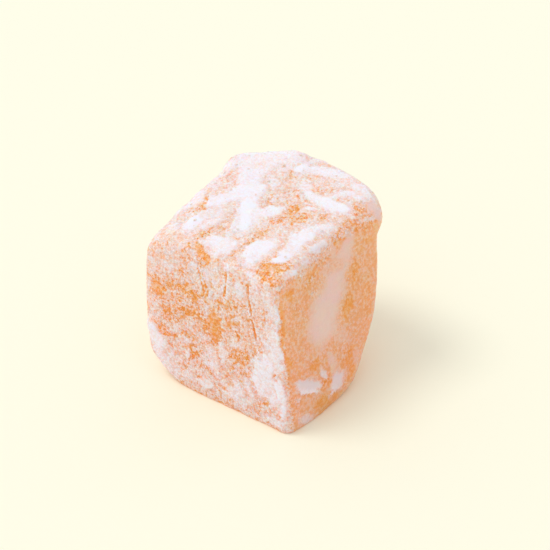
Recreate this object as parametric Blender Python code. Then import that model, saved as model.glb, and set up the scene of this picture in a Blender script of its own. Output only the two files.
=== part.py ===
"""A cube of Turkish delight, cut by hand from a slab: one solid piece of starch jelly.

The block is the space inside a handful of cut faces. Each face has a direction and a distance from
the middle of the block, and where faces meet, the jelly rounds over. Metres, +Z up, with the origin
on the surface that the cube rests on, under the middle of its box. The front face looks to -Y.
"""

import bmesh
import bpy
import numpy as np

MM = 0.001  # metres in a millimetre

# Driving dimensions, in millimetres from the middle of the block.
MIDDLE_HEIGHT = 13.0  # height of the middle above the resting face
CUT_FACES = {  # the way each face looks, and how far it lies from the middle
    "base": ((0.00, 0.00, -1.00), 13.55),
    "top": ((0.04, -0.12, 0.99), 13.1),
    "front": ((0.07, -0.99, 0.11), 12.0),
    "right": ((0.97, -0.11, 0.21), 12.4),
    "left": ((-1.00, -0.03, -0.05), 14.19),
    "back": ((0.25, 0.95, -0.20), 13.4),
}
WORN_CORNERS = {  # corners squashed or trimmed by the knife, as smaller faces
    "far_top": ((-0.44, 0.89, 0.07), 18.11),
    "right_low": ((0.73, 0.56, -0.38), 17.16),
    "left_low": ((-0.54, -0.22, -0.81), 18.09),
    "left_top": ((-0.48, -0.18, 0.86), 17.69),
    "right_top": ((0.83, 0.08, 0.55), 19.08),
}
EDGE_SHARPNESS = 18.0  # exponent that blends the faces: higher is crisper
CRISP_EDGE = {"turn": -43.0, "spread": 9.0, "extra": 12.0}  # the upright front edge, in degrees
SOFT_BELOW = -0.3  # the crisp edge softens under this slope, towards the foot
SWELLS = {  # soft bulges and dents: middle, reach along each axis, and push
    "right_lip": ((11.5, 11.5, 13.0), (3.0, 3.5, 2.0), (0.59, -0.15, -0.42)),
    "lip_edge": ((11.5, 11.0, 10.8), (3.0, 3.0, 1.6), (0.52, 0.3, -0.02)),
    "lip_shade": ((11.5, 10.8, 8.2), (3.0, 3.5, 1.8), (-0.15, 0.04, 0.16)),
    "lip_undercut": ((11.5, 11.5, 8.0), (4.0, 5.0, 3.0), (-0.24, 0.09, 0.15)),
    "far_shoulder": ((7.0, 13.0, 13.0), (5.0, 4.0, 4.0), (-0.28, 0.37, 0.69)),
    "far_slope": ((-2.0, 15.1, 14.8), (2.5, 2.0, 2.0), (0.0, -0.41, -0.54)),
    "far_peak": ((-5.5, 14.3, 15.0), (2.0, 2.0, 2.0), (0.01, 0.4, 0.49)),
    "far_left_rim": ((-10.5, 12.0, 14.5), (3.5, 2.5, 2.5), (-0.29, -0.35, -0.15)),
    "far_rim": ((-8.0, 15.5, 13.0), (4.0, 3.0, 3.0), (0.18, 0.16, 0.26)),
    "far_left_corner": ((-14.3, 7.5, 13.4), (2.0, 2.2, 2.5), (-0.14, 0.35, 0.6)),
    "far_left_notch": ((-14.6, 4.3, 12.7), (2.5, 2.4, 2.5), (0.33, 0.61, 0.39)),
    "left_rim_dip": ((-13.5, 5.5, 13.0), (2.5, 3.5, 2.5), (0.77, 0.73, 0.22)),
    "left_belly": ((-14.0, -4.0, 0.0), (4.0, 7.0, 6.0), (-0.73, -0.37, -0.13)),
    "right_hollow": ((12.5, -1.0, 12.5), (3.5, 6.5, 6.0), (-1.2, 0.0, -0.1)),
    "foot": ((13.0, 0.0, -9.0), (5.0, 7.0, 5.0), (0.07, -0.08, 0.36)),
    "foot_roll": ((14.5, 0.0, -11.5), (3.0, 5.0, 3.5), (0.05, 0.3, 0.71)),
    "near_toe": ((13.5, -14.8, -13.0), (2.2, 2.2, 3.0), (0.08, -0.15, -0.08)),
    "near_toe_right": ((13.8, -11.5, -13.0), (2.5, 2.5, 3.0), (-0.45, -0.32, 0.02)),
    "near_toe_left": ((8.0, -15.2, -13.0), (4.0, 2.5, 3.0), (0.02, -0.26, 0.13)),
    "top_dip": ((-3.0, -4.0, 13.0), (5.0, 6.0, 4.0), (0.0, 0.0, -0.3)),
    "back_dent": ((2.0, 14.0, 1.0), (6.0, 4.0, 6.0), (0.0, -0.5, 0.0)),
}

GRID = 24  # squares along each side of a face
GRID_SPREAD = 0.62  # how much the grid tightens towards the edges, from 0 to 1
JELLY_COLOUR = (0.86, 0.40, 0.12, 1.0)
JELLY_ROUGHNESS = 0.55


def clear_scene():
    for item in list(bpy.data.objects):
        bpy.data.objects.remove(item)


def unit(vectors):
    vectors = np.asarray(vectors, float)
    return vectors / np.linalg.norm(vectors, axis=-1, keepdims=True)


def gridded_cube():
    """A cube of side 2 with GRID squares along each side."""
    cube = bmesh.new()
    bmesh.ops.create_cube(cube, size=2.0)
    bmesh.ops.subdivide_edges(cube, edges=cube.edges[:], cuts=GRID - 1, use_grid_fill=True)
    return cube


def tightened(coordinates):
    """Moves the grid lines towards the cube's edges, where the surface turns most."""
    quarter_turn = np.pi / 2 * GRID_SPREAD
    return np.sin(coordinates * quarter_turn) / np.sin(quarter_turn)


def sharpness(directions):
    """The blending exponent in each direction, raised along the one crisp upright edge."""
    turn = np.degrees(np.arctan2(directions[:, 1], directions[:, 0]))
    nearness = np.exp(-(((turn - CRISP_EDGE["turn"]) / CRISP_EDGE["spread"]) ** 2))
    nearness *= np.clip((directions[:, 2] - SOFT_BELOW) / 0.3 + 1.0, 0.0, 1.0)
    return EDGE_SHARPNESS + CRISP_EDGE["extra"] * nearness


def reach_of_faces(directions):
    """How far the blended faces lie from the middle in each direction, in millimetres."""
    exponent = sharpness(directions)
    total = np.zeros(len(directions))
    for way, distance in [*CUT_FACES.values(), *WORN_CORNERS.values()]:
        total += (np.maximum(directions @ unit(way), 0.0) / distance) ** exponent
    return total ** (-1.0 / exponent)


def swelling(points):
    """How far the bulges and dents move each point, in millimetres."""
    moved = np.zeros_like(points)
    for middle, reach, push in SWELLS.values():
        away = (points - np.array(middle)) / np.array(reach)
        nearness = np.exp(-(away**2).sum(axis=1))
        moved += nearness[:, None] * np.array(push)
    return moved


def block_points(cube_points):
    """Carries the points of the gridded cube onto the block, in millimetres above the table."""
    directions = unit(tightened(cube_points))
    points = directions * reach_of_faces(directions)[:, None]
    points += swelling(points)
    points[:, 2] = np.maximum(points[:, 2] + MIDDLE_HEIGHT, 0.0)  # the foot is flat on the table
    box_middle = (points.min(axis=0) + points.max(axis=0)) / 2
    points[:, :2] -= box_middle[:2]
    return points


def jelly_material():
    material = bpy.data.materials.new("sugared_jelly")
    material.use_nodes = True
    shader = material.node_tree.nodes["Principled BSDF"]
    shader.inputs["Base Color"].default_value = JELLY_COLOUR
    shader.inputs["Roughness"].default_value = JELLY_ROUGHNESS
    return material


def delight_cube():
    """The whole sweet, as one closed solid."""
    cube = gridded_cube()
    mesh = bpy.data.meshes.new("delight_cube")
    cube.to_mesh(mesh)
    cube.free()
    points = np.empty(len(mesh.vertices) * 3)
    mesh.vertices.foreach_get("co", points)
    mesh.vertices.foreach_set("co", (block_points(points.reshape(-1, 3)) * MM).ravel())
    mesh.update()
    mesh.shade_smooth()
    mesh.materials.append(jelly_material())
    sweet = bpy.data.objects.new("delight_cube", mesh)
    bpy.context.scene.collection.objects.link(sweet)
    return sweet


clear_scene()
delight_cube()
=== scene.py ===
from math import cos, pi, radians, sin

import bmesh
import bpy
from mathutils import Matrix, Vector


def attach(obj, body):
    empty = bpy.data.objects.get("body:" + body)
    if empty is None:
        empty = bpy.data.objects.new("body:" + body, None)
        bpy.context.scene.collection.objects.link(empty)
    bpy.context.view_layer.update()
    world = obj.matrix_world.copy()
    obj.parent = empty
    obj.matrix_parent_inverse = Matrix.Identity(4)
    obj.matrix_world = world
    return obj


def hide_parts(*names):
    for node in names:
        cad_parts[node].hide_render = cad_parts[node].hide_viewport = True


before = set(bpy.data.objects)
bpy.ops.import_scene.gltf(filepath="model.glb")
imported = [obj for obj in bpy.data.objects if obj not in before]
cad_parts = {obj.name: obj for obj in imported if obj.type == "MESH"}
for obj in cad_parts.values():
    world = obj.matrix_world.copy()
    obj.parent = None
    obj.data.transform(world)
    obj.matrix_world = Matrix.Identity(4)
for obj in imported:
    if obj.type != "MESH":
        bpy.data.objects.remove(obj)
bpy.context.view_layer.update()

mm = 0.001  # metres in a millimetre


def linear(hexColour):
    # sRGB hex to the linear values that Blender's sockets hold
    shares = [int(hexColour[i : i + 2], 16) / 255 for i in (1, 3, 5)]
    return (*(s / 12.92 if s <= 0.04045 else ((s + 0.055) / 1.055) ** 2.4 for s in shares), 1.0)


def addNode(tree, kind, *inOrder, fills=None, out=0, **settings):
    # one node with its settings; its sockets are filled or linked in order, then by name,
    # and it gives back the output that is asked for, or itself where out is None
    node = tree.nodes.new(kind)
    for name, value in settings.items():
        setattr(node, name, value)
    for key, value in {**dict(enumerate(inOrder)), **(fills or {})}.items():
        if isinstance(value, bpy.types.NodeSocket):
            tree.links.new(value, node.inputs[key])
        else:
            node.inputs[key].default_value = value
    return node if out is None else node.outputs[out]


def newTree(name, inputs):
    # a geometry tree with named inputs and one geometry output
    tree = bpy.data.node_groups.new(name, "GeometryNodeTree")
    for socket, kind in inputs.items():
        tree.interface.new_socket(socket, in_out="INPUT", socket_type="NodeSocket" + kind)
    tree.interface.new_socket("Geometry", in_out="OUTPUT", socket_type="NodeSocketGeometry")
    return tree, addNode(tree, "NodeGroupInput", out=None).outputs


def grow(name, tree, values):
    # an empty mesh that a tree fills, kept as a plain mesh
    piece = bpy.data.objects.new(name, bpy.data.meshes.new(name))
    bpy.context.scene.collection.objects.link(piece)
    modifier = piece.modifiers.new(name, "NODES")
    modifier.node_group = tree
    for item in tree.interface.items_tree:  # inputs go by identifier, not by name
        if item.in_out == "INPUT" and item.name in values:
            modifier[item.identifier] = values[item.name]
    graph = bpy.context.evaluated_depsgraph_get()
    made = bpy.data.meshes.new_from_object(piece.evaluated_get(graph), depsgraph=graph)
    piece.modifiers.clear()
    empty, piece.data = piece.data, made
    bpy.data.meshes.remove(empty)
    made.name = name
    print(name, len(made.polygons), "faces")
    return piece


block = {
    "squaresPerSide": 128,
    "spread": 0.55,  # how evenly the squares are shared out, from 0 (cube) to 1 (ball)
    "middle": (0.0, 0.0, 13 * mm),
    "reach": 60 * mm,
    "smoothing": 3,
    "swellSize": 7 * mm,
    "swellHeight": 0.16 * mm,
    "lumpSize": 1.3 * mm,
    "lumpHeight": 0.12 * mm,
    "driftHeight": 0.16 * mm,
    "creaseDepth": 0.15 * mm,
    "lipHeight": 0.05 * mm,
    "raggedSize": 2.2 * mm,
    "raggedReach": 1.5 * mm,
    "settleBelow": 2.0 * mm,
    "settleBy": 0.35 * mm,
}

# across, up and outward direction of each side
sides = {
    "top": ((1, 0, 0), (0, 1, 0), (0, 0, 1)),
    "front": ((1, 0, 0), (0, 0, 1), (0, -1, 0)),
    "right": ((0, 1, 0), (0, 0, 1), (1, 0, 0)),
    "left": ((0, -1, 0), (0, 0, 1), (-1, 0, 0)),
    "back": ((-1, 0, 0), (0, 0, 1), (0, 1, 0)),
    "foot": ((1, 0, 0), (0, -1, 0), (0, 0, -1)),
}
evenDust = {"foot": 0.35, "back": 0.40, "left": 0.50, "right": 0.07, "front": 0.47, "top": 0.62}
evenFilm = {"right": 0.20, "back": 0.12}

# side, across mm, up mm, half length mm, half width mm, turn degrees, sugar from 0 (bare) to 1
bareSpots = [
    ("top", 3.9, -1.8, 1.3, 0.3, -69, 0.55),
    ("top", -0.0, 3.3, 1.0, 0.5, 13, 0.4),
    ("top", -2.9, 2.0, 1.1, 0.5, 17, 0.5),
    ("top", 10.3, 7.4, 2.7, 0.4, 69, 0.22),
    ("front", -11.9, 23.7, 2.1, 0.3, 27, 0.35),
    ("top", -11.0, -3.0, 1.8, 0.5, -72, 0.3),
    ("top", -10.8, -5.1, 1.3, 0.6, 64, 0.3),
    ("top", -12.3, -6.0, 1.3, 0.9, 37, 0.45),
    ("top", -11.2, 3.7, 1.2, 0.7, 63, 0.6),
    ("top", -10.3, 5.5, 1.0, 0.5, 23, 0.62),
    ("top", -11.5, 1.1, 2.1, 0.5, 15, 0.75),
    ("top", -5.5, -5.7, 2.0, 0.7, -87, 0.5),
    ("top", -6.0, -7.8, 1.1, 0.5, 67, 0.4),
    ("top", -7.4, -2.2, 1.4, 0.6, -67, 0.55),
    ("top", -6.4, -1.2, 1.1, 0.2, -61, 0.6),
    ("top", -6.6, -9.3, 1.2, 0.5, 70, 0.22),
    ("top", 1.3, 1.9, 2.4, 1.1, -87, 0.2),
    ("top", 3.4, 1.7, 1.7, 0.9, 79, 0.18),
    ("top", 1.5, 2.7, 1.1, 0.4, -8, 0.2),
    ("top", 0.9, -0.7, 1.7, 0.7, 74, 0.22),
    ("top", 0.5, -3.5, 1.8, 0.8, 74, 0.38),
    ("top", -0.4, 5.9, 1.3, 0.5, -37, 0.35),
    ("top", -0.9, 4.5, 1.8, 0.4, -42, 0.45),
    ("top", -3.0, 2.5, 1.3, 0.3, -49, 0.38),
    ("top", -2.2, 1.4, 1.2, 0.3, 57, 0.5),
    ("top", -5.0, 4.6, 1.6, 0.3, -47, 0.52),
    ("top", -4.8, 7.5, 2.0, 0.5, 49, 0.68),
    ("top", -3.6, 8.7, 1.2, 0.3, -49, 0.42),
    ("top", -1.2, 10.0, 0.8, 0.5, 48, 0.64),
    ("top", 1.7, 8.7, 1.4, 0.3, 47, 0.55),
    ("top", 3.2, 8.6, 1.6, 0.4, 33, 0.4),
    ("top", 5.2, 11.8, 2.4, 0.5, 54, 0.7),
    ("top", 3.6, 5.1, 1.2, 0.3, 0, 0.55),
    ("top", 6.2, 3.9, 1.0, 0.5, 25, 0.3),
    ("top", 5.5, 3.1, 0.8, 0.4, 12, 0.4),
    ("top", 7.5, 8.6, 1.7, 0.4, 24, 0.52),
    ("top", 9.7, 8.4, 2.2, 0.7, 58, 0.22),
    ("top", 9.5, 9.9, 1.4, 0.4, 74, 0.5),
    ("top", 0.4, -6.5, 1.3, 0.6, 76, 0.4),
    ("top", -1.3, -5.8, 1.4, 0.8, 45, 0.5),
    ("top", 0.2, -9.2, 1.3, 0.6, 77, 0.35),
    ("top", 4.8, -8.0, 1.7, 0.4, -89, 0.3),
    ("top", 8.0, -3.8, 1.1, 0.4, -90, 0.55),
    ("top", 7.8, -7.0, 0.9, 0.4, -13, 0.4),
    ("front", -2.8, 19.3, 1.4, 0.4, -78, 0.15),
    ("front", 0.8, 18.4, 4.0, 0.8, 19, 0.2),
    ("front", 2.9, 17.0, 3.1, 0.7, 21, 0.12),
    ("front", 0.4, 19.8, 1.0, 0.4, -74, 0.3),
    ("front", -8.9, 11.6, 2.3, 0.6, 13, 0.25),
    ("front", -12.6, 18.3, 0.8, 0.5, -67, 0.3),
    ("front", -11.5, 16.3, 1.5, 1.3, -21, 0.08),
    ("front", -8.2, 18.1, 1.7, 0.6, 15, 0.2),
    ("front", -5.3, 18.0, 1.9, 1.0, -59, 0.08),
    ("front", -6.9, 14.0, 4.3, 1.2, 15, 0.16),
    ("front", -0.7, 14.1, 3.6, 1.2, -82, 0.06),
    ("front", -2.9, 13.7, 1.6, 1.0, -20, 0.16),
    ("front", 2.0, 15.4, 1.8, 0.7, 27, 0.08),
    ("front", 2.5, 18.8, 1.5, 0.7, -14, 0.22),
    ("front", -10.0, 9.2, 1.9, 0.6, -3, 0.18),
    ("front", -6.6, 9.6, 2.3, 0.7, 13, 0.16),
    ("front", -5.4, 18.0, 2.3, 0.7, 12, 0.15),
    ("front", -9.8, 10.4, 1.8, 0.7, 8, 0.3),
    ("front", -5.0, 8.5, 1.1, 0.7, 24, 0.02),
    ("front", -4.0, 7.2, 2.1, 0.6, 41, 0.16),
    ("front", 3.2, 10.6, 1.8, 0.7, 31, 0.26),
    ("front", 4.1, 9.7, 2.2, 0.6, 30, 0.25),
    ("front", 3.1, 14.0, 0.7, 0.5, 2, 0.22),
    ("front", -5.5, 3.7, 1.0, 0.5, -81, 0.3),
    ("front", 4.6, 7.6, 1.0, 0.5, -55, 0.3),
    ("front", 10.1, 9.7, 0.8, 0.3, 39, 0.1),
    ("front", 8.4, 5.2, 1.3, 0.5, -80, 0.25),
    ("front", 7.1, 2.1, 1.2, 0.5, 20, 0.28),
    ("front", 10.1, 3.2, 0.6, 0.4, 12, 0.35),
    ("top", 6.3, -9.0, 2.3, 1.0, 51, 0.15),
    ("top", 6.7, -10.7, 1.2, 0.7, 59, 0.22),
    ("top", 8.4, -10.5, 1.4, 0.5, 63, 0.2),
    ("front", -7.0, 21.2, 1.3, 0.5, -77, 0.38),
    ("top", -6.4, -11.6, 1.5, 1.0, 46, 0.28),
    ("top", -4.2, -11.7, 2.1, 0.7, -20, 0.1),
    ("front", -3.4, 23.3, 1.1, 0.6, -36, 0.3),
    ("front", 1.6, 6.4, 1.4, 0.5, 16, 0.35),
    ("front", -9.0, 15.9, 2.3, 0.8, 9, 0.15),
    ("right", -11.6, 19.1, 3.4, 0.4, 83, 0),
    ("right", -12.3, 12.9, 3.5, 0.5, 87, 0),
    ("right", -9.4, 22.1, 1.1, 0.5, -51, 0),
    ("right", -7.4, 9.1, 1.6, 0.8, 3, 0),
    ("right", 1.4, 14.1, 2.1, 0.9, 64, 0),
    ("right", 4.1, 18.3, 2.1, 0.7, 71, 0.02),
    ("right", -0.5, 6.7, 1.9, 0.9, 34, 0),
    ("right", -0.4, 4.1, 1.9, 0.7, 86, 0),
    ("right", -6.4, 2.1, 3.0, 1.4, -3, 0),
    ("right", -4.0, 2.0, 1.5, 0.6, -8, 0),
    ("right", -5.9, 5.1, 0.9, 0.4, -37, 0.02),
    ("right", 1.5, 7.3, 1.6, 0.6, -84, 0.04),
    ("right", -12.4, 8.7, 1.3, 0.4, 88, 0.04),
    ("right", -10.2, 2.2, 1.3, 0.4, -58, 0.08),
    ("top", 9.5, 2.8, 1.7, 0.4, -82, 0.1),
    ("right", -4.6, 21.9, 1.4, 0.6, 11, 0.15),
    ("right", -1.4, 23.6, 1.4, 0.4, 13, 0.25),
    ("right", 7.3, 23.6, 2.8, 0.7, -49, 0.06),
    ("right", 9.0, 19.9, 2.1, 0.7, 78, 0.02),
    ("right", 9.0, 21.0, 3.4, 0.8, 88, 0),
    ("right", 5.0, 7.1, 2.1, 0.8, 65, 0.04),
    ("right", -10.0, 3.6, 2.5, 0.7, -49, 0.04),
    ("right", -4.1, 24.2, 4.3, 0.5, 8, 0.42),
    ("right", 2.7, 25.7, 2.5, 0.2, 16, 0.4),
    ("right", 5.4, 13.9, 9.2, 2.9, 82, 0.05),
    ("right", -12.4, 4.8, 2.2, 0.8, -69, 0.1),
    ("right", -0.4, 7.7, 1.4, 0.6, -47, 0.05),
    ("right", 6.6, 25.5, 2.6, 0.6, -10, 0.12),
    ("left", -6.0, 17.0, 3.5, 2.0, 40, 0.25),
    ("left", 5.0, 12.0, 3.0, 1.6, -20, 0.30),
    ("left", -2.0, 8.0, 4.0, 1.4, 10, 0.30),
    ("left", 9.0, 19.0, 1.6, 0.8, 70, 0.30),
    ("left", -9.0, 8.0, 1.8, 1.0, -50, 0.15),
    ("left", 6.0, 6.0, 1.6, 0.7, 25, 0.15),
    ("left", 0.5, 17.5, 2.2, 1.2, -30, 0.12),
    ("left", -5.5, 13.5, 1.8, 0.9, 70, 0.10),
    ("left", 3.0, 21.0, 1.5, 0.6, 10, 0.20),
    ("back", -4.0, 17.0, 3.0, 2.0, 30, 0.20),
    ("back", 8.0, 8.5, 2.6, 1.2, -35, 0.10),
    ("back", -8.5, 18.0, 1.6, 0.8, 40, 0.15),
    ("back", 0.5, 18.5, 2.0, 0.9, 10, 0.12),
    ("back", -5.0, 3.5, 1.8, 0.7, -10, 0.20),
    ("back", 4.0, 10.0, 3.6, 1.8, -40, 0.20),
    ("back", -7.0, 8.0, 2.0, 1.0, 80, 0.25),
]
sugarDrifts = [
    ("top", -7.1, -5.9, 1.8, 0.5, 52, 0.8),
    ("top", -2.2, -4.6, 1.2, 0.5, 46, 0.85),
    ("top", -13.3, 2.8, 3.2, 0.6, -83, 0.8),
    ("top", -9.6, 10.7, 5.8, 1.1, 33, 0.92),
    ("top", -7.5, 8.5, 1.8, 1.1, 57, 0.86),
    ("top", -2.9, 13.6, 2.4, 0.7, 45, 0.86),
    ("top", -9.2, -7.4, 2.6, 1.2, -89, 1),
    ("top", -8.1, -4.5, 2.1, 1.1, 41, 0.8),
    ("top", -3.0, -8.9, 2.8, 1.6, 10, 0.92),
    ("top", -1.7, -10.2, 1.5, 0.8, 45, 0.9),
    ("top", -3.1, -5.7, 2.6, 0.9, -77, 0.85),
    ("top", -4.0, -1.2, 4.1, 1.5, -62, 1),
    ("top", -7.9, 4.2, 4.6, 1.8, -46, 0.9),
    ("top", -8.4, -1.2, 3.1, 1.4, 52, 0.92),
    ("top", -6.8, 2.1, 3.1, 1.4, 39, 0.95),
    ("top", -1.1, 0.7, 2.2, 1.2, 54, 0.93),
    ("top", 2.4, -6.8, 3.0, 1.6, 71, 0.97),
    ("top", 3.0, -9.2, 1.7, 1.0, 61, 0.9),
    ("top", 3.1, -10.7, 0.8, 0.5, 53, 0.7),
    ("top", 6.0, -6.4, 1.5, 1.1, 79, 1),
    ("top", 6.3, -4.0, 1.7, 1.0, 82, 0.88),
    ("top", 6.1, -1.1, 2.3, 1.3, 77, 0.96),
    ("top", 7.2, 1.6, 2.2, 1.0, 55, 0.84),
    ("right", -1.4, 25.3, 1.6, 0.6, -6, 0.93),
    ("top", -0.2, 7.7, 1.8, 0.6, -32, 0.88),
    ("top", 2.4, 6.6, 2.0, 0.8, -8, 0.93),
    ("top", 6.2, 6.5, 2.8, 1.2, 7, 0.98),
    ("top", 3.5, 4.2, 0.7, 0.4, 19, 0.92),
    ("top", -3.1, 11.0, 1.4, 0.9, 78, 1),
    ("top", 0.7, 12.2, 3.9, 1.4, 11, 0.9),
    ("top", -4.8, 5.6, 1.2, 0.7, 34, 0.85),
    ("top", 5.8, 9.0, 2.2, 0.6, 44, 0.9),
    ("top", -11.6, -9.8, 1.4, 1.1, 79, 0.82),
    ("top", -12.8, -3.0, 2.8, 1.0, -87, 0.86),
    ("top", -9.7, -2.0, 1.8, 1.0, 72, 0.93),
    ("top", -11.4, 7.4, 3.7, 1.7, 52, 0.88),
    ("top", -6.9, 10.7, 3.8, 1.5, 37, 0.87),
    ("top", -8.3, 5.5, 2.4, 1.4, 59, 0.9),
    ("top", 7.7, 11.3, 2.4, 0.9, -5, 0.86),
    ("top", 3.0, -2.5, 1.8, 0.8, 46, 0.7),
    ("top", -6.9, -6.8, 1.6, 0.7, 70, 0.85),
    ("top", -4.4, -3.7, 1.7, 0.5, -78, 0.85),
    ("top", -2.5, -1.0, 2.0, 0.5, -58, 0.9),
    ("top", -4.9, 9.4, 1.3, 0.5, 59, 0.85),
    ("top", 8.3, 9.8, 1.4, 0.5, 20, 0.85),
    ("right", -1.7, 24.8, 0.8, 0.3, 1, 0.85),
    ("top", -1.3, -5.3, 1.2, 0.5, 59, 0.8),
    ("right", -4.2, 24.6, 1.1, 0.3, -13, 0.75),
    ("top", -12.8, 4.2, 1.7, 0.7, -80, 0.85),
    ("right", -0.8, 25.2, 1.1, 0.4, 6, 0.85),
    ("top", -2.6, -6.2, 1.2, 0.5, 4, 0.75),
    ("front", 8.6, 18.9, 4.6, 1.0, -77, 0.7),
    ("front", 9.7, 13.6, 3.5, 0.8, -76, 0.82),
    ("front", 7.6, 8.5, 3.3, 1.4, -78, 0.86),
    ("front", 8.9, 10.4, 3.5, 1.0, -77, 0.88),
    ("front", 11.0, 6.8, 2.2, 0.8, -74, 0.96),
    ("front", -1.7, 2.8, 1.8, 0.8, 1, 0.84),
    ("front", -0.8, 8.4, 2.3, 0.9, -75, 0.64),
    ("front", -1.3, 6.6, 0.9, 0.6, 6, 0.76),
    ("front", 0.9, 9.9, 2.0, 0.5, -81, 0.72),
    ("front", -5.5, 7.0, 0.8, 0.5, 14, 0.85),
    ("front", 3.8, 3.8, 2.0, 1.0, -79, 0.78),
    ("front", -10.5, 4.5, 2.3, 1.2, -51, 0.8),
    ("front", -11.9, 7.8, 2.8, 1.5, -45, 0.88),
    ("front", -8.1, 4.2, 2.0, 0.5, -83, 0.7),
    ("front", 3.2, 21.9, 1.2, 0.8, -57, 0.84),
    ("top", 4.2, -11.6, 0.6, 0.3, 13, 0.86),
    ("front", 3.2, 12.2, 1.0, 0.5, 37, 0.7),
    ("front", -1.7, 17.3, 0.9, 0.6, -60, 0.72),
    ("front", -2.2, 20.5, 2.7, 0.5, -81, 0.68),
    ("front", -9.8, 21.8, 3.0, 1.5, 13, 0.58),
    ("front", -9.7, 21.0, 1.4, 0.5, 13, 0.7),
    ("front", -4.9, 22.5, 1.1, 0.5, -59, 0.74),
    ("front", -1.2, 22.5, 2.4, 0.8, -72, 0.62),
    ("front", 5.6, 22.9, 2.2, 0.9, -65, 0.66),
    ("top", 8.8, -7.7, 1.2, 0.3, 77, 1),
    ("front", 10.8, 1.6, 1.8, 0.9, -5, 0.78),
    ("front", 11.5, 6.5, 4.2, 0.5, -79, 0.86),
    ("front", 9.7, 6.4, 1.9, 0.6, -76, 0.8),
    ("front", -8.2, 4.0, 2.5, 1.0, -41, 0.7),
    ("front", 8.3, 14.5, 1.3, 0.5, -29, 0.75),
    ("front", 3.9, 2.7, 2.8, 0.9, 1, 0.66),
    ("front", -7.4, 10.6, 0.7, 0.3, 50, 0.62),
    ("front", -9.3, 2.7, 2.4, 1.0, -11, 0.72),
    ("front", -5.2, 2.9, 1.2, 0.7, -17, 0.7),
    ("front", 5.8, 5.5, 1.7, 0.6, -63, 0.75),
    ("front", 10.5, 4.9, 1.8, 0.8, -42, 0.8),
    ("front", 9.9, 16.7, 6.5, 0.2, -80, 0.92),
    ("front", -5.8, 9.0, 1.6, 0.7, -3, 0.6),
    ("front", 3.3, 16.7, 1.5, 0.5, 8, 0.6),
    ("front", 2.7, 3.3, 1.4, 0.8, -19, 0.75),
    ("front", -12.2, 20.8, 1.6, 0.7, 9, 0.68),
    ("front", 5.6, 2.7, 1.9, 0.6, 41, 0.75),
    ("front", 10.4, 4.8, 1.7, 0.6, 35, 0.8),
    ("right", -9.4, 6.7, 2.9, 0.7, -29, 0.88),
    ("right", -9.7, 5.9, 2.3, 0.5, -33, 0.85),
    ("right", -5.9, 6.2, 1.1, 0.4, -81, 0.7),
    ("right", -3.8, 4.1, 1.9, 1.2, 37, 0.86),
    ("right", -10.8, 1.3, 1.7, 0.7, -25, 0.42),
    ("front", 12.7, 1.9, 1.1, 0.4, -56, 0.6),
    ("right", -11.8, 5.9, 0.7, 0.3, -61, 0.4),
    ("left", -9.0, 22.0, 3.0, 1.2, 10, 0.90),
    ("left", 2.0, 20.0, 2.6, 1.0, -35, 0.90),
    ("left", 8.0, 8.0, 2.0, 1.2, 50, 0.85),
    ("left", -6.0, 4.0, 2.6, 1.0, -15, 0.85),
    ("left", 11.0, 16.0, 3.6, 0.8, 82, 0.84),
    ("left", -3.0, 24.0, 3.4, 1.0, -6, 0.90),
    ("left", 5.5, 24.5, 2.4, 0.7, 12, 0.86),
    ("left", -10.5, 12.0, 2.8, 1.0, 75, 0.80),
    ("left", 1.0, 3.0, 1.8, 0.7, -8, 0.80),
    ("left", -3.5, 6.5, 1.2, 0.6, 35, 0.85),
    ("back", 6.0, 20.0, 3.0, 1.1, 20, 0.90),
    ("back", -11.5, 14.0, 4.0, 0.9, 84, 0.85),
    ("back", 1.0, 24.0, 3.6, 1.0, -4, 0.90),
    ("back", 9.5, 14.5, 2.2, 1.0, 60, 0.82),
    ("back", 3.0, 14.5, 1.4, 0.7, -20, 0.80),
    ("back", -3.0, 8.5, 1.2, 0.6, 15, 0.78),
    ("back", -6.0, 22.0, 2.4, 0.9, -30, 0.85),
    ("back", -1.0, 5.0, 2.6, 1.0, 10, 0.85),
    ("back", 8.0, 4.0, 1.6, 0.8, 60, 0.80),
]
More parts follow.
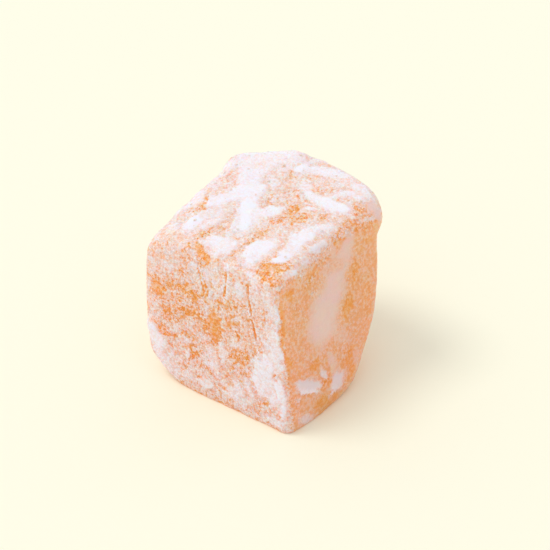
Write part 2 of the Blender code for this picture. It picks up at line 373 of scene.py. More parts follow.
smoothFilms = [  # damp sugar smeared to a thin even film
    ("right", 2.7, 22.2, 3.8, 1.4, 58, 0.85),
    ("right", -0.5, 18.4, 3.7, 2.2, 62, 0.9),
    ("right", -3.9, 15.1, 4.7, 3.1, 57, 0.9),
    ("right", -1.1, 10.7, 2.3, 0.9, -44, 0.5),
    ("right", 1.5, 4.8, 2.3, 0.9, -87, 0.45),
    ("right", -3.8, 7.5, 2.1, 0.7, 86, 0.65),
    ("right", -6.0, 6.8, 1.3, 0.5, -85, 0.6),
    ("right", 0.8, 23.3, 1.6, 0.7, 74, 0.6),
    ("right", 0.1, 21.7, 2.6, 0.9, -8, 0.5),
    ("right", 10.3, 25.8, 1.4, 0.9, -71, 0.9),
    ("right", -9.4, 6.7, 2.9, 0.8, -29, 0.9),
    ("right", -3.6, 4.2, 2.3, 1.5, 37, 0.9),
    ("right", -10.8, 1.3, 1.8, 0.8, -25, 0.8),
    ("right", -11.6, 19.1, 3.4, 0.4, 83, 0),
    ("right", -12.3, 12.9, 3.5, 0.6, 87, 0),
    ("right", -9.4, 22.1, 1.2, 0.7, -51, 0),
    ("right", -7.4, 9.1, 1.7, 1.0, 3, 0),
    ("right", 1.4, 14.1, 2.2, 1.2, 64, 0),
    ("right", 4.1, 18.3, 2.2, 0.9, 71, 0),
    ("right", -0.5, 6.7, 2.0, 1.1, 34, 0),
    ("right", -0.4, 4.1, 2.0, 1.0, 86, 0),
    ("right", -6.4, 2.1, 3.0, 1.5, -3, 0),
    ("right", -5.9, 5.1, 1.0, 0.5, -37, 0),
    ("right", 2.8, 25.5, 1.9, 0.5, 27, 0.05),
    ("right", -4.6, 21.9, 1.5, 0.8, 11, 0.05),
    ("right", 6.6, 25.5, 2.6, 0.6, -10, 0.05),
    ("right", -0.4, 7.7, 1.5, 0.7, -47, 0),
    ("right", 7.3, 23.6, 2.8, 0.7, -49, 0.05),
    ("right", 5.5, 12.7, 6.3, 1.4, 81, 0.1),
    ("left", 3.0, 15.0, 4.0, 2.0, 70, 0.6),
    ("left", -1.0, 12.0, 2.5, 1.0, 20, 0.5),
    ("back", 0.0, 14.0, 4.5, 2.2, 40, 0.6),
]
creases = [  # short cuts where the jelly stuck to the knife
    ("front", -4.0, 21.9, 1.1, 0.2, -69, 1),
    ("front", -3.2, 19.3, 1.9, 0.2, -75, 1),
    ("front", 0.6, 22.9, 1.1, 0.2, -81, 1),
    ("front", 0.6, 20.7, 1.4, 0.2, 85, 1),
    ("front", 4.5, 22.2, 1.6, 0.2, -84, 0.8),
    ("front", 5.1, 19.5, 1.7, 0.2, -75, 1),
    ("front", 6.0, 16.0, 2.4, 0.2, -75, 1),
    ("front", -4.5, 17.2, 2.1, 0.2, -61, 0.4),
    ("front", -1.3, 20.2, 1.2, 0.2, -83, 0.3),
    ("front", 7.3, 19.7, 2.1, 0.2, -78, 0.3),
    ("front", -7.0, 21.0, 1.5, 0.2, -73, 0.3),
]
# where a mark is full and where it has faded out, in half sizes of the mark
markEdges = {
    "sugar": (0.70, 1.25),
    "film": (0.50, 1.35),
    "crease": (0.55, 1.10),
    "lip": (0.90, 3.20),
}


def evenMarks(levels):
    # marks so large that they cover a whole side
    halfSize = 99
    return [(side, 0, 13, halfSize, halfSize, 0, level) for side, level in levels.items()]


def markPoints(name, marks):
    # a point for each mark, which carries its directions, divided by its half sizes
    layers = {"along": [], "across": [], "outward": [], "level": []}
    centres = []
    for side, u, v, halfLength, halfWidth, turn, level in marks:
        right, up, outward = (Vector(axis) for axis in sides[side])
        a = radians(turn)
        centres.append((right * u + up * v) * mm)
        layers["along"].extend((right * cos(a) + up * sin(a)) / (halfLength * mm))
        layers["across"].extend((up * cos(a) - right * sin(a)) / (halfWidth * mm))
        layers["outward"].extend(outward)
        layers["level"].append(level)
    mesh = bpy.data.meshes.new(name)
    mesh.from_pydata(centres, [], [])
    for key, values in layers.items():
        kind, field = ("FLOAT", "value") if key == "level" else ("FLOAT_VECTOR", "vector")
        mesh.attributes.new(key, kind, "POINT").data.foreach_set(field, values)
    points = bpy.data.objects.new(name, mesh)
    bpy.context.scene.collection.objects.link(points)
    points.hide_render = True
    return points


def markTree():
    # paints every mark of a set, one after the other, onto one named attribute
    tree, given = newTree(
        "paintMarks",
        {"Geometry": "Geometry", "Marks": "Object", "Attribute": "String", "Core": "Float",
         "Rim": "Float"},
    )
    marks = addNode(
        tree, "GeometryNodeObjectInfo", fills={"Object": given["Marks"]}, out="Geometry"
    )
    count = addNode(
        tree, "GeometryNodeAttributeDomainSize", marks, component="MESH", out="Point Count"
    )
    begin = addNode(tree, "GeometryNodeRepeatInput", out=None)
    end = addNode(tree, "GeometryNodeRepeatOutput", out=None)
    begin.pair_with_output(end)
    tree.links.new(count, begin.inputs["Iterations"])
    tree.links.new(given["Geometry"], begin.inputs["Geometry"])

    place = addNode(tree, "GeometryNodeInputPosition")
    here = {  # what this turn's mark carries
        "centre": addNode(
            tree, "GeometryNodeSampleIndex", data_type="FLOAT_VECTOR",
            fills={"Geometry": marks, "Value": place, "Index": begin.outputs["Iteration"]},
        )
    }
    for name in ("along", "across", "outward", "level"):
        kind = "FLOAT" if name == "level" else "FLOAT_VECTOR"
        carried = addNode(tree, "GeometryNodeInputNamedAttribute", name, data_type=kind)
        here[name] = addNode(
            tree, "GeometryNodeSampleIndex", data_type=kind,
            fills={"Geometry": marks, "Value": carried, "Index": begin.outputs["Iteration"]},
        )
    ragged, facing, before = (
        addNode(tree, "GeometryNodeInputNamedAttribute", name, data_type=kind)
        for name, kind in (
            ("ragged", "FLOAT_VECTOR"), ("facing", "FLOAT_VECTOR"), (given["Attribute"], "FLOAT")
        )
    )
    away = addNode(tree, "ShaderNodeVectorMath", ragged, here["centre"], operation="SUBTRACT")
    flat = addNode(
        tree,
        "ShaderNodeCombineXYZ",
        *(
            addNode(
                tree, "ShaderNodeVectorMath", away, here[name], operation="DOT_PRODUCT", out="Value"
            )
            for name in ("along", "across")
        ),
    )
    radius = addNode(tree, "ShaderNodeVectorMath", flat, operation="LENGTH", out="Value")
    inside = addNode(
        tree, "ShaderNodeMapRange", radius, given["Rim"], given["Core"],
        interpolation_type="SMOOTHSTEP",
    )
    looks = addNode(
        tree, "ShaderNodeVectorMath", facing, here["outward"], operation="DOT_PRODUCT", out="Value"
    )
    seen = addNode(
        tree, "ShaderNodeMapRange", looks, 0.3, 0.5, interpolation_type="SMOOTHSTEP"
    )
    weight = addNode(tree, "ShaderNodeMath", inside, seen, operation="MULTIPLY")
    mixed = addNode(
        tree, "ShaderNodeMix", data_type="FLOAT", fills={0: weight, 2: before, 3: here["level"]}
    )
    painted = addNode(
        tree, "GeometryNodeStoreNamedAttribute", data_type="FLOAT", domain="POINT",
        fills={
            "Geometry": begin.outputs["Geometry"], "Name": given["Attribute"], "Value": mixed
        },
    )
    tree.links.new(painted, end.inputs["Geometry"])
    addNode(tree, "NodeGroupOutput", end.outputs["Geometry"], out=None)
    return tree


def blockTree():
    tree, given = newTree(
        "sugaredBlock",
        {
            "Cut Form": "Object", "Dust Marks": "Object", "Film Marks": "Object",
            "Crease Marks": "Object", "Lines": "Int", "Smoothing": "Int", "Middle": "Vector",
            "Spread": "Float", "Reach": "Float", "Swell Size": "Float", "Swell Height": "Float",
            "Lump Size": "Float", "Lump Height": "Float", "Drift Height": "Float",
            "Crease Depth": "Float", "Lip Height": "Float", "Ragged Size": "Float",
            "Ragged Reach": "Float", "Settle Below": "Float", "Settle By": "Float",
            "Material": "Material",
        },
    )
    # an even grid of squares, pushed out to a ball and cast in onto the cut form
    lines = given["Lines"]
    cube = addNode(tree, "GeometryNodeMeshCube", (2, 2, 2), lines, lines, lines)
    place = addNode(tree, "GeometryNodeInputPosition")
    quarter = addNode(tree, "ShaderNodeMath", given["Spread"], pi / 2, operation="MULTIPLY")
    wound = addNode(
        tree, "ShaderNodeVectorMath", place, fills={"Scale": quarter}, operation="SCALE"
    )
    bent = addNode(tree, "ShaderNodeVectorMath", wound, operation="SINE")
    ball = addNode(tree, "ShaderNodeVectorMath", bent, operation="NORMALIZE")
    far = addNode(
        tree, "ShaderNodeVectorMath", ball, fills={"Scale": given["Reach"]}, operation="SCALE"
    )
    start = addNode(tree, "ShaderNodeVectorMath", far, given["Middle"])
    inward = addNode(
        tree, "ShaderNodeVectorMath", ball, fills={"Scale": -1.0}, operation="SCALE"
    )
    form = addNode(
        tree, "GeometryNodeObjectInfo", fills={"Object": given["Cut Form"]}, out="Geometry"
    )
    landed = addNode(
        tree, "GeometryNodeRaycast", out="Hit Position",
        fills={
            "Target Geometry": form, "Source Position": start, "Ray Direction": inward,
            "Ray Length": 1.0,
        },
    )
    shape = addNode(
        tree, "GeometryNodeSetPosition", fills={"Geometry": cube, "Position": landed}
    )
    eased = addNode(
        tree, "GeometryNodeBlurAttribute", data_type="FLOAT_VECTOR",
        fills={"Value": place, "Iterations": given["Smoothing"]},
    )
    shape = addNode(
        tree, "GeometryNodeSetPosition", fills={"Geometry": shape, "Position": eased}
    )

    # broad swells and soft lumps
    normal = addNode(tree, "GeometryNodeInputNormal")
    for size, height, detail, shift in (
        ("Swell Size", "Swell Height", 1.0, 0.7), ("Lump Size", "Lump Height", 3.0, 1.1)
    ):
        moved = addNode(tree, "ShaderNodeVectorMath", place, (shift, 0, 0))
        perSize = addNode(tree, "ShaderNodeMath", 1.0, given[size], operation="DIVIDE")
        wave = addNode(
            tree, "ShaderNodeTexNoise", fills={"Vector": moved, "Scale": perSize, "Detail": detail}
        )
        lift = addNode(tree, "ShaderNodeMapRange", wave, 0.0, 1.0, -1.0, 1.0, clamp=False)
        lift = addNode(tree, "ShaderNodeMath", lift, given[height], operation="MULTIPLY")
        offset = addNode(
            tree, "ShaderNodeVectorMath", normal, fills={"Scale": lift}, operation="SCALE"
        )
        shape = addNode(
            tree, "GeometryNodeSetPosition", fills={"Geometry": shape, "Offset": offset}
        )

    # the marks read a ragged place, so that no drift ends on a clean curve
    perSize = addNode(tree, "ShaderNodeMath", 1.0, given["Ragged Size"], operation="DIVIDE")
    torn = addNode(
        tree, "ShaderNodeTexNoise", out="Color",
        fills={"Vector": place, "Scale": perSize, "Detail": 4.0, "Roughness": 0.6},
    )
    torn = addNode(tree, "ShaderNodeVectorMath", torn, (0.5, 0.5, 0.5), operation="SUBTRACT")
    painter = markTree()
    for name, marks, share in (
        ("sugar", "Dust Marks", 2.0), ("film", "Film Marks", 2.0),
        ("crease", "Crease Marks", 0.12), ("lip", "Crease Marks", 0.5),
    ):
        toss = addNode(
            tree, "ShaderNodeMath", given["Ragged Reach"], share, operation="MULTIPLY"
        )
        tossed = addNode(
            tree, "ShaderNodeVectorMath", torn, fills={"Scale": toss}, operation="SCALE"
        )
        ragged = addNode(tree, "ShaderNodeVectorMath", place, tossed)
        for key, value, kind in (
            ("ragged", ragged, "FLOAT_VECTOR"), ("facing", normal, "FLOAT_VECTOR"),
            (name, 0.0, "FLOAT"),
        ):
            shape = addNode(
                tree, "GeometryNodeStoreNamedAttribute", data_type=kind, domain="POINT",
                fills={"Geometry": shape, "Name": key, "Value": value},
            )
        core, rim = markEdges[name]
        shape = addNode(
            tree, "GeometryNodeGroup", shape, given[marks], name, core, rim, node_tree=painter
        )

    # drifts stand proud, and creases sink between raised lips
    stored = {
        name: addNode(tree, "GeometryNodeInputNamedAttribute", name, data_type="FLOAT")
        for name in ("sugar", "crease", "lip")
    }
    heaped = addNode(
        tree, "ShaderNodeMapRange", stored["sugar"], 0.55, 1.0, interpolation_type="SMOOTHSTEP"
    )
    height = addNode(
        tree, "ShaderNodeMath", heaped, given["Drift Height"], operation="MULTIPLY"
    )
    height = addNode(
        tree, "ShaderNodeMath", stored["lip"], given["Lip Height"], height,
        operation="MULTIPLY_ADD",
    )
    sink = addNode(
        tree, "ShaderNodeMath", stored["crease"], given["Crease Depth"], operation="MULTIPLY"
    )
    height = addNode(tree, "ShaderNodeMath", height, sink, operation="SUBTRACT")
    offset = addNode(
        tree, "ShaderNodeVectorMath", normal, fills={"Scale": height}, operation="SCALE"
    )
    shape = addNode(tree, "GeometryNodeSetPosition", fills={"Geometry": shape, "Offset": offset})
    # the foot settles onto the table, and nothing pokes into it
    rise = addNode(tree, "ShaderNodeSeparateXYZ", place, out="Z")
    settle = addNode(
        tree, "ShaderNodeMapRange", rise, 0.0, given["Settle Below"], given["Settle By"], 0.0
    )
    settle = addNode(tree, "ShaderNodeCombineXYZ", 0.0, 0.0, settle)
    level = addNode(tree, "ShaderNodeVectorMath", place, settle, operation="SUBTRACT")
    tableTop = (-1.0, -1.0, 0.0)  # only the height is held, the rest lies far inside
    level = addNode(tree, "ShaderNodeVectorMath", level, tableTop, operation="MAXIMUM")
    shape = addNode(tree, "GeometryNodeSetPosition", fills={"Geometry": shape, "Position": level})
    for spare in ("ragged", "facing"):
        shape = addNode(
            tree, "GeometryNodeRemoveAttribute", fills={"Geometry": shape, "Name": spare}
        )
    shape = addNode(tree, "GeometryNodeSetShadeSmooth", shape)
    shape = addNode(tree, "GeometryNodeRealizeInstances", shape)
    shape = addNode(
        tree, "GeometryNodeSetMaterial",
        fills={"Geometry": shape, "Material": given["Material"]},
    )
    addNode(tree, "NodeGroupOutput", shape, out=None)
    return tree


grains = {
    "sugarGrains": {  # icing sugar's own grains are finer; these are the least that show
        "corners": 4,
        "rings": 2,
        "perSquareMetre": 9.0e6,
        "smallest": 0.07 * mm,
        "largest": 0.14 * mm,
        "bareBelow": 0.05,
        "fullAbove": 0.55,
        "seed": 3,
    },
    "sugarClumps": {  # damp sugar that stuck together
        "corners": 6,
        "rings": 4,
        "perSquareMetre": 0.6e6,
        "smallest": 0.14 * mm,
        "largest": 0.32 * mm,
        "bareBelow": 0.55,
        "fullAbove": 1.0,
        "seed": 8,
    },
}
scatter = {
    "cloudSize": 1.1 * mm,  # of the patches where grains lie thicker
    "chipSize": 0.25 * mm,
    "chipDepth": 0.9,  # how far a grain's corners stray, in shares of the largest grain
    "sunk": 0.4,  # how deep a grain sits, in the same shares
    "clearBelow": 0.25 * mm,  # no grains under the block
    "fullFrom": 0.5 * mm,
}


def grainTree():
    tree, given = newTree(
        "scatterGrains",
        {
            "Surface": "Object", "Corners": "Int", "Rings": "Int", "Per Square Metre": "Float",
            "Smallest": "Float", "Largest": "Float", "Bare Below": "Float",
            "Full Above": "Float", "Seed": "Int", "Cloud Size": "Float", "Chip Size": "Float",
            "Chip Depth": "Float", "Sunk": "Float", "Clear Below": "Float",
            "Full From": "Float", "Material": "Material",
        },
    )
    surface = addNode(
        tree, "GeometryNodeObjectInfo", fills={"Object": given["Surface"]}, out="Geometry"
    )
    sugar, film, crease = (
        addNode(tree, "GeometryNodeInputNamedAttribute", name, data_type="FLOAT")
        for name in ("sugar", "film", "crease")
    )
    place = addNode(tree, "GeometryNodeInputPosition")
    # most where sugar lies, none on damp film, in creases and under the block
    density = addNode(
        tree, "ShaderNodeMapRange", sugar, given["Bare Below"], given["Full Above"], 0.0,
        given["Per Square Metre"],
    )
    damp = addNode(tree, "ShaderNodeMath", film, crease, operation="MAXIMUM")
    dry = addNode(tree, "ShaderNodeMapRange", damp, 0.1, 0.6, 1.0, 0.06)
    density = addNode(tree, "ShaderNodeMath", density, dry, operation="MULTIPLY")
    heaped = addNode(tree, "ShaderNodeMapRange", sugar, 0.75, 0.95, 1.0, 0.15)
    density = addNode(tree, "ShaderNodeMath", density, heaped, operation="MULTIPLY")
    perSize = addNode(tree, "ShaderNodeMath", 1.0, given["Cloud Size"], operation="DIVIDE")
    cloud = addNode(
        tree, "ShaderNodeTexNoise", fills={"Vector": place, "Scale": perSize, "Detail": 2.0}
    )
    cloud = addNode(tree, "ShaderNodeMapRange", cloud, 0.35, 0.6, 0.15, 1.0)
    density = addNode(tree, "ShaderNodeMath", density, cloud, operation="MULTIPLY")
    rise = addNode(tree, "ShaderNodeSeparateXYZ", place, out="Z")
    above = addNode(
        tree, "ShaderNodeMapRange", rise, given["Clear Below"], given["Full From"]
    )
    density = addNode(tree, "ShaderNodeMath", density, above, operation="MULTIPLY")
    spots = addNode(
        tree, "GeometryNodeDistributePointsOnFaces", distribute_method="RANDOM",
        fills={"Mesh": surface, "Density": density, "Seed": given["Seed"]}, out=None,
    )
    sunk = addNode(
        tree, "ShaderNodeMath", given["Largest"], given["Sunk"], operation="MULTIPLY"
    )
    sunk = addNode(tree, "ShaderNodeMath", sunk, -1.0, operation="MULTIPLY")
    sunk = addNode(
        tree, "ShaderNodeVectorMath", spots.outputs["Normal"], fills={"Scale": sunk},
        operation="SCALE",
    )
    seats = addNode(
        tree, "GeometryNodeSetPosition",
        fills={"Geometry": spots.outputs["Points"], "Offset": sunk},
    )
    grain = addNode(tree, "GeometryNodeMeshUVSphere", given["Corners"], given["Rings"], 1.0)
    turned = addNode(
        tree, "FunctionNodeRandomValue", data_type="FLOAT_VECTOR",
        fills={"Max": (2 * pi, 2 * pi, 2 * pi), "Seed": given["Seed"]},
    )
    turned = addNode(tree, "FunctionNodeEulerToRotation", turned)
    squashed = addNode(
        tree, "FunctionNodeRandomValue", data_type="FLOAT_VECTOR",
        fills={"Min": (0.7, 0.7, 0.7), "Max": (1.25, 1.25, 1.25), "Seed": given["Seed"]},
    )
    size = addNode(
        tree, "FunctionNodeRandomValue", data_type="FLOAT", out=1,
        fills={2: given["Smallest"], 3: given["Largest"], "Seed": given["Seed"]},
    )
    scale = addNode(
        tree, "ShaderNodeVectorMath", squashed, fills={"Scale": size}, operation="SCALE"
    )
    shape = addNode(
        tree, "GeometryNodeInstanceOnPoints",
        fills={"Points": seats, "Instance": grain, "Rotation": turned, "Scale": scale},
    )
    shape = addNode(tree, "GeometryNodeRealizeInstances", shape)
    # every grain is chipped out of round
    perSize = addNode(tree, "ShaderNodeMath", 1.0, given["Chip Size"], operation="DIVIDE")
    chip = addNode(
        tree, "ShaderNodeTexNoise", fills={"Vector": place, "Scale": perSize}, out="Color"
    )
    chip = addNode(tree, "ShaderNodeVectorMath", chip, (0.5, 0.5, 0.5), operation="SUBTRACT")
    depth = addNode(
        tree, "ShaderNodeMath", given["Largest"], given["Chip Depth"], operation="MULTIPLY"
    )
    chip = addNode(
        tree, "ShaderNodeVectorMath", chip, fills={"Scale": depth}, operation="SCALE"
    )
    shape = addNode(tree, "GeometryNodeSetPosition", fills={"Geometry": shape, "Offset": chip})
    shape = addNode(
        tree, "GeometryNodeSetMaterial",
        fills={"Geometry": shape, "Material": given["Material"]},
    )
    addNode(tree, "NodeGroupOutput", shape, out=None)
    return tree


jelly = {
    "patterns": {  # size, detail and roughness; grains are drawn coarser than real, to show
        "grain": (0.21 * mm, 1.5, 0.6),
        "clot": (0.55 * mm, 2.0, 0.55),
        "cloud": (2.4 * mm, 2.0, 0.5),
        "blush": (5 * mm, 1.0, 0.5),
        "shadow": (0.28 * mm, 2.0, 0.65),
    },
    "shares": {"clot": 0.48, "cloud": 0.16, "grain": 0.36},  # in what makes the dust uneven
    "thinnest": 0.355,  # their sum where the dust is thinnest and where it is thickest
    "thickest": 0.635,
    "patchiness": 0.85,
    "mostAdded": 0.42,
    "amber": "#FFA562",
    "paleAmber": "#FFB66A",
    # painted shade colour for the gaps between grains and for creases
    "gapShadeAmber": "#FC9E42",
    "filmedAmber": "#FAD6C8",
    "powder": "#FAF6FB",
    "dampPowder": "#ECD7D4",
    # painted shade between the grains, and painted light on them
    "shadow": "#E9DFDA",
    "paintedLight": (1.11, 1.11, 1.11, 1.0),
    "bareFootBelow": 0.1 * mm,
    "dustedAbove": 0.7 * mm,
    "glowFrom": 1.6 * mm,
    "glowReach": 4.0 * mm,
    "glowRadius": (1.0, 0.25, 0.10),
    "bumpDepth": 0.08 * mm,
}


def starchJelly():
    # starch jelly, cut and dusted: light goes in, spreads, and comes out orange; the dry
    # dusting scatters it back white, and damp sugar dulls it to a pinkish film
    material = bpy.data.materials.new("dusted_starch_jelly")
    material.use_nodes = True
    tree = material.node_tree
    tree.nodes.clear()
    place = addNode(tree, "ShaderNodeTexCoord", out="Object")
    sugar, film, crease, lip = (
        addNode(tree, "ShaderNodeAttribute", attribute_name=name, out="Fac")
        for name in ("sugar", "film", "crease", "lip")
    )
    # grains, clots of grains, cloudy dusting, blushes in the jelly, and painted shadows in the dust
    pattern = {
        name: addNode(
            tree, "ShaderNodeTexNoise",
            fills={"Vector": place, "Scale": 1 / size, "Detail": detail, "Roughness": rough},
        )
        for name, (size, detail, rough) in jelly["patterns"].items()
    }
    # grains lie farther apart where the dusting is thin
    thick = addNode(tree, "ShaderNodeMapRange", sugar, 0.0, 0.3, 0.6, 1.0)
    pattern["grain"] = addNode(tree, "ShaderNodeMix", thick, fills={2: 0.5, 3: pattern["grain"]})
    uneven = 0.0
    for name, share in jelly["shares"].items():
        uneven = addNode(
            tree, "ShaderNodeMath", pattern[name], share, uneven, operation="MULTIPLY_ADD"
        )
    uneven = addNode(
        tree, "ShaderNodeMapRange", uneven, jelly["thinnest"], jelly["thickest"],
        -jelly["patchiness"], jelly["patchiness"], clamp=False,
    )
    uneven = addNode(
        tree, "ShaderNodeMath", uneven, jelly["mostAdded"], 0.4, operation="SMOOTH_MIN"
    )
    # patchiest where it is neither bare nor full, and even where it is damp
    fuller = addNode(tree, "ShaderNodeMapRange", sugar, 0.3, 1.0, 1.0, 0.1)
    thin = addNode(tree, "ShaderNodeMapRange", sugar, 0.0, 0.16, 0.35, 1.0)
    fuller = addNode(tree, "ShaderNodeMath", fuller, thin, operation="MULTIPLY")
    dry = addNode(tree, "ShaderNodeMath", 1.0, film, operation="SUBTRACT")
    dry = addNode(tree, "ShaderNodeMath", dry, 0.6, operation="POWER")
    patchy = addNode(tree, "ShaderNodeMath", fuller, dry, operation="MULTIPLY")
    dust = addNode(tree, "ShaderNodeMath", uneven, patchy, sugar, operation="MULTIPLY_ADD")
    # the raised lips of the creases are dusted whiter: partly sugar caught on them, partly a
    # painted highlight along the crease edges
    dust = addNode(tree, "ShaderNodeMath", lip, 0.25, dust, operation="MULTIPLY_ADD")
    # creases are left bare, and so take the deeper gap colour below, painted shade in the crease
    dust = addNode(tree, "ShaderNodeMath", crease, -1.1, dust, operation="MULTIPLY_ADD")
    rise = addNode(tree, "ShaderNodeSeparateXYZ", place, out="Z")
    footBared = addNode(
        tree, "ShaderNodeMapRange", rise, jelly["bareFootBelow"], jelly["dustedAbove"], -0.35, 0.0
    )
    dust = addNode(tree, "ShaderNodeMath", dust, footBared)  # the dust thins out towards the foot's edge

    # the jelly is paler towards the top, in blushes and in clots
    pale = addNode(tree, "ShaderNodeMapRange", rise, 4 * mm, 24 * mm, 0.0, 0.6)
    for name, share in (("blush", 0.7), ("clot", 0.8)):
        pale = addNode(
            tree, "ShaderNodeMath", pattern[name], share, pale, operation="MULTIPLY_ADD"
        )
    pale = addNode(tree, "ShaderNodeMapRange", pale, 0.7, 1.35)
    amber = addNode(
        tree, "ShaderNodeMix", data_type="RGBA", out=2,
        fills={0: pale, 6: linear(jelly["amber"]), 7: linear(jelly["paleAmber"])},
    )
    # painted shade: where the dust runs out, as in the gaps between grains and in creases, the
    # jelly is painted a deeper colour
    gapShade = addNode(tree, "ShaderNodeMapRange", dust, -0.35, 0.1)
    amber = addNode(
        tree, "ShaderNodeMix", data_type="RGBA", out=2,
        fills={0: gapShade, 6: linear(jelly["gapShadeAmber"]), 7: amber},
    )
    filmed = addNode(
        tree, "ShaderNodeMix", data_type="RGBA", out=2,
        fills={0: film, 6: amber, 7: linear(jelly["filmedAmber"])},
    )
    powder = addNode(
        tree, "ShaderNodeMix", data_type="RGBA", out=2,
        fills={0: film, 6: linear(jelly["powder"]), 7: linear(jelly["dampPowder"])},
    )
    colour = addNode(
        tree, "ShaderNodeMix", data_type="RGBA", out=2, fills={0: dust, 6: filmed, 7: powder}
    )
    # painted shade: small warm shadows between the grains, and painted light on them, wherever the
    # dusting is patchy
    shadow = addNode(tree, "ShaderNodeMapRange", pattern["shadow"], 0.36, 0.64)
    shadow = addNode(
        tree, "ShaderNodeMix", data_type="RGBA", out=2,
        fills={0: shadow, 6: linear(jelly["shadow"]), 7: jelly["paintedLight"]},
    )
    shaded = addNode(tree, "ShaderNodeMath", patchy, thick, operation="MULTIPLY")
    colour = addNode(
        tree, "ShaderNodeMix", data_type="RGBA", blend_type="MULTIPLY", out=2,
        fills={0: shaded, 6: colour, 7: shadow},
    )
    roughness = addNode(tree, "ShaderNodeMapRange", dust, 0.0, 1.0, 0.5, 0.95)
    standing = 0.0
    for high, share in ((dust, 0.7), (pattern["grain"], 0.5), (pattern["clot"], 0.8)):
        standing = addNode(
            tree, "ShaderNodeMath", high, share, standing, operation="MULTIPLY_ADD"
        )
    bump = addNode(
        tree, "ShaderNodeBump",
        fills={"Height": standing, "Strength": 0.5, "Distance": jelly["bumpDepth"]},
    )
    # it glows most where it is bare, and not at the foot, where light is lost in the underside
    glow = addNode(tree, "ShaderNodeMapRange", dust, 0.0, 0.9, 0.95, 0.3)
    raised = addNode(tree, "ShaderNodeMapRange", rise, 0.0, jelly["glowFrom"], 0.0, 1.0)
    glow = addNode(tree, "ShaderNodeMath", glow, raised, operation="MULTIPLY")
    shader = addNode(
        tree, "ShaderNodeBsdfPrincipled",
        fills={
            "Base Color": colour, "Roughness": roughness, "Normal": bump, "IOR": 1.45,
            "Specular IOR Level": 0.25, "Subsurface Weight": glow,
            "Subsurface Radius": jelly["glowRadius"], "Subsurface Scale": jelly["glowReach"],
        },
    )
    addNode(tree, "ShaderNodeOutputMaterial", shader, out=None)
    return material


icing = {
    "tintSize": 0.5 * mm,
    "white": "#F8E8E2",
    "tinted": "#F4D2BE",
    "glowReach": 0.3 * mm,
    "glowRadius": (1.0, 0.7, 0.6),
}


def icingSugar():
    # icing sugar: dry, soft white, no shine; here and there the jelly has tinted it
    material = bpy.data.materials.new("icing_sugar")
    material.use_nodes = True
    tree = material.node_tree
    tree.nodes.clear()
    place = addNode(tree, "ShaderNodeTexCoord", out="Object")
    tint = addNode(
        tree, "ShaderNodeTexNoise",
        fills={"Vector": place, "Scale": 1 / icing["tintSize"], "Detail": 2.0},
    )
    tint = addNode(tree, "ShaderNodeMapRange", tint, 0.35, 0.65)
    colour = addNode(
        tree, "ShaderNodeMix", data_type="RGBA", out=2,
        fills={0: tint, 6: linear(icing["white"]), 7: linear(icing["tinted"])},
    )
    roughness = addNode(tree, "ShaderNodeMapRange", tint, 0.0, 1.0, 0.95, 0.8)
    shader = addNode(
        tree, "ShaderNodeBsdfPrincipled",
        fills={
            "Base Color": colour, "Roughness": roughness, "IOR": 1.5,
            "Specular IOR Level": 0.2, "Subsurface Weight": 0.8,
            "Subsurface Radius": icing["glowRadius"], "Subsurface Scale": icing["glowReach"],
        },
    )
    addNode(tree, "ShaderNodeOutputMaterial", shader, out=None)
    return material


print("cutting the block")
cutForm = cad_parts["delight_cube"].copy()
cutForm.data = cutForm.data.copy()
cutForm.parent = None
cutForm.name = "cutForm"
bpy.context.scene.collection.objects.link(cutForm)
cutForm.hide_render = True
welded = bmesh.new()  # a node's mesh is loose triangles
welded.from_mesh(cutForm.data)
bmesh.ops.remove_doubles(welded, verts=welded.verts, dist=0.001 * mm)
welded.to_mesh(cutForm.data)
welded.free()
dustMarks = markPoints("dustMarks", evenMarks(evenDust) + bareSpots + sugarDrifts)
filmMarks = markPoints("filmMarks", evenMarks(evenFilm) + smoothFilms)
creaseMarks = markPoints("creaseMarks", creases)
sweet = grow(
    "sugaredBlock",
    blockTree(),
    {
        "Cut Form": cutForm, "Dust Marks": dustMarks, "Film Marks": filmMarks,
        "Crease Marks": creaseMarks, "Lines": block["squaresPerSide"] + 1,
        "Smoothing": block["smoothing"], "Middle": block["middle"], "Spread": block["spread"],
        "Reach": block["reach"], "Swell Size": block["swellSize"],
        "Swell Height": block["swellHeight"], "Lump Size": block["lumpSize"],
        "Lump Height": block["lumpHeight"], "Drift Height": block["driftHeight"],
        "Crease Depth": block["creaseDepth"], "Lip Height": block["lipHeight"],
        "Ragged Size": block["raggedSize"], "Ragged Reach": block["raggedReach"],
        "Settle Below": block["settleBelow"], "Settle By": block["settleBy"],
        "Material": starchJelly(),
    },
)
for helper in (cutForm, dustMarks, filmMarks, creaseMarks):
    bpy.data.objects.remove(helper)
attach(sweet, "root")
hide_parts("delight_cube")

print("dusting it")
whiteSugar = icingSugar()
grainField = grainTree()
for name, kind in grains.items():
    piece = grow(
        name,
        grainField,
        {
            "Surface": sweet, "Corners": kind["corners"], "Rings": kind["rings"],
            "Per Square Metre": kind["perSquareMetre"], "Smallest": kind["smallest"],
            "Largest": kind["largest"], "Bare Below": kind["bareBelow"],
            "Full Above": kind["fullAbove"], "Seed": kind["seed"],
            "Cloud Size": scatter["cloudSize"], "Chip Size": scatter["chipSize"],
            "Chip Depth": scatter["chipDepth"], "Sunk": scatter["sunk"],
            "Clear Below": scatter["clearBelow"], "Full From": scatter["fullFrom"],
            "Material": whiteSugar,
        },
    )
    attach(piece, "root")

print("lighting it")
stage = {
    "floorSize": 3.0,
    "floorColour": "#FFFDE5",
    "floorGlow": "#FFFDF4",
    "keyStrength": 0.84,
    "keyAngle": 22,
    "keyTurn": -154.0,
    "keyHeight": 59.0,
    "skyColour": (0.99, 1.0, 1.05, 1.0),
    "skyLow": 0.63,
    "skyHigh": 0.78,
    "skyLeft": 0.10,  # what the left side of the sky adds
    "lens": 85,
    "distance": 203 * mm,
    "turn": 36.9,
    "height": 38.0,
    "looksAt": (-2.14 * mm, 2.87 * mm, 12.5 * mm),
}


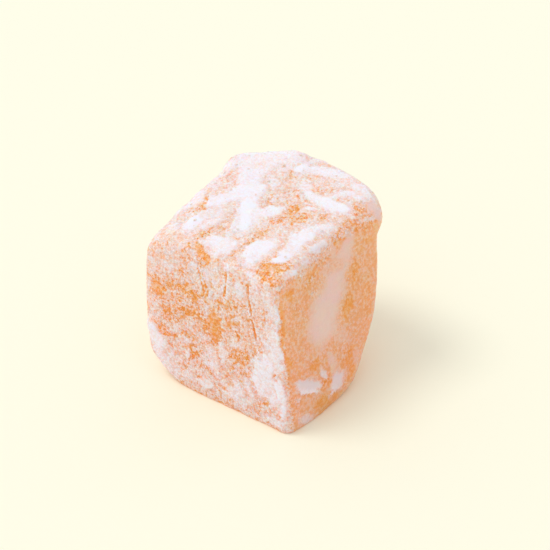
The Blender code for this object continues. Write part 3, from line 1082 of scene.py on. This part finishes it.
def makeStage():
    bpy.ops.mesh.primitive_plane_add(size=stage["floorSize"])
    floor = bpy.context.object
    floor.name = "paleFloor"
    material = bpy.data.materials.new("matt_cream_card")
    material.use_nodes = True
    shader = material.node_tree.nodes["Principled BSDF"]
    # its cream is seen but not thrown back onto the sugar
    direct = addNode(material.node_tree, "ShaderNodeLightPath", out="Is Camera Ray")
    cream = addNode(
        material.node_tree, "ShaderNodeMix", data_type="RGBA", out=2,
        fills={0: direct, 6: linear(stage["floorGlow"]), 7: linear(stage["floorColour"])},
    )
    material.node_tree.links.new(cream, shader.inputs["Base Color"])
    shader.inputs["Roughness"].default_value = 1.0
    shader.inputs["Specular IOR Level"].default_value = 0.0
    floor.data.materials.append(material)

    sun = bpy.data.lights.new("softKey", "SUN")
    sun.energy = stage["keyStrength"]
    sun.angle = radians(stage["keyAngle"])
    key = bpy.data.objects.new("softKey", sun)
    bpy.context.scene.collection.objects.link(key)
    turn, height = radians(stage["keyTurn"]), radians(stage["keyHeight"])
    fromWhere = Vector((cos(turn) * cos(height), sin(turn) * cos(height), sin(height)))
    key.rotation_euler = fromWhere.to_track_quat("Z", "Y").to_euler()

    # a sky that is brightest overhead and a little brighter on the left
    world = bpy.data.worlds.new("softSky")
    world.use_nodes = True
    tree = world.node_tree
    tree.nodes.clear()
    way = addNode(tree, "ShaderNodeTexCoord", out="Generated")
    rise = addNode(tree, "ShaderNodeSeparateXYZ", way, out="Z")
    bright = addNode(
        tree, "ShaderNodeMapRange", rise, 0.0, 1.0, stage["skyLow"], stage["skyHigh"]
    )
    left = addNode(tree, "ShaderNodeSeparateXYZ", way, out="X")
    left = addNode(tree, "ShaderNodeMapRange", left, -1.0, 1.0, stage["skyLeft"], 0.0)
    bright = addNode(tree, "ShaderNodeMath", bright, left)
    sky = addNode(tree, "ShaderNodeBackground", stage["skyColour"], bright)
    addNode(tree, "ShaderNodeOutputWorld", sky, out=None)
    bpy.context.scene.world = world


def makeCamera():
    turn, height = radians(stage["turn"]), radians(stage["height"])
    away = Vector((sin(turn) * cos(height), -cos(turn) * cos(height), sin(height)))
    data = bpy.data.cameras.new("camera")
    data.lens = stage["lens"]
    data.clip_start = 0.01
    camera = bpy.data.objects.new("camera", data)
    bpy.context.scene.collection.objects.link(camera)
    camera.location = Vector(stage["looksAt"]) + away * stage["distance"]
    camera.rotation_euler = away.to_track_quat("Z", "Y").to_euler()
    bpy.context.scene.camera = camera
    bpy.context.scene.view_settings.view_transform = "Standard"


makeStage()
makeCamera()
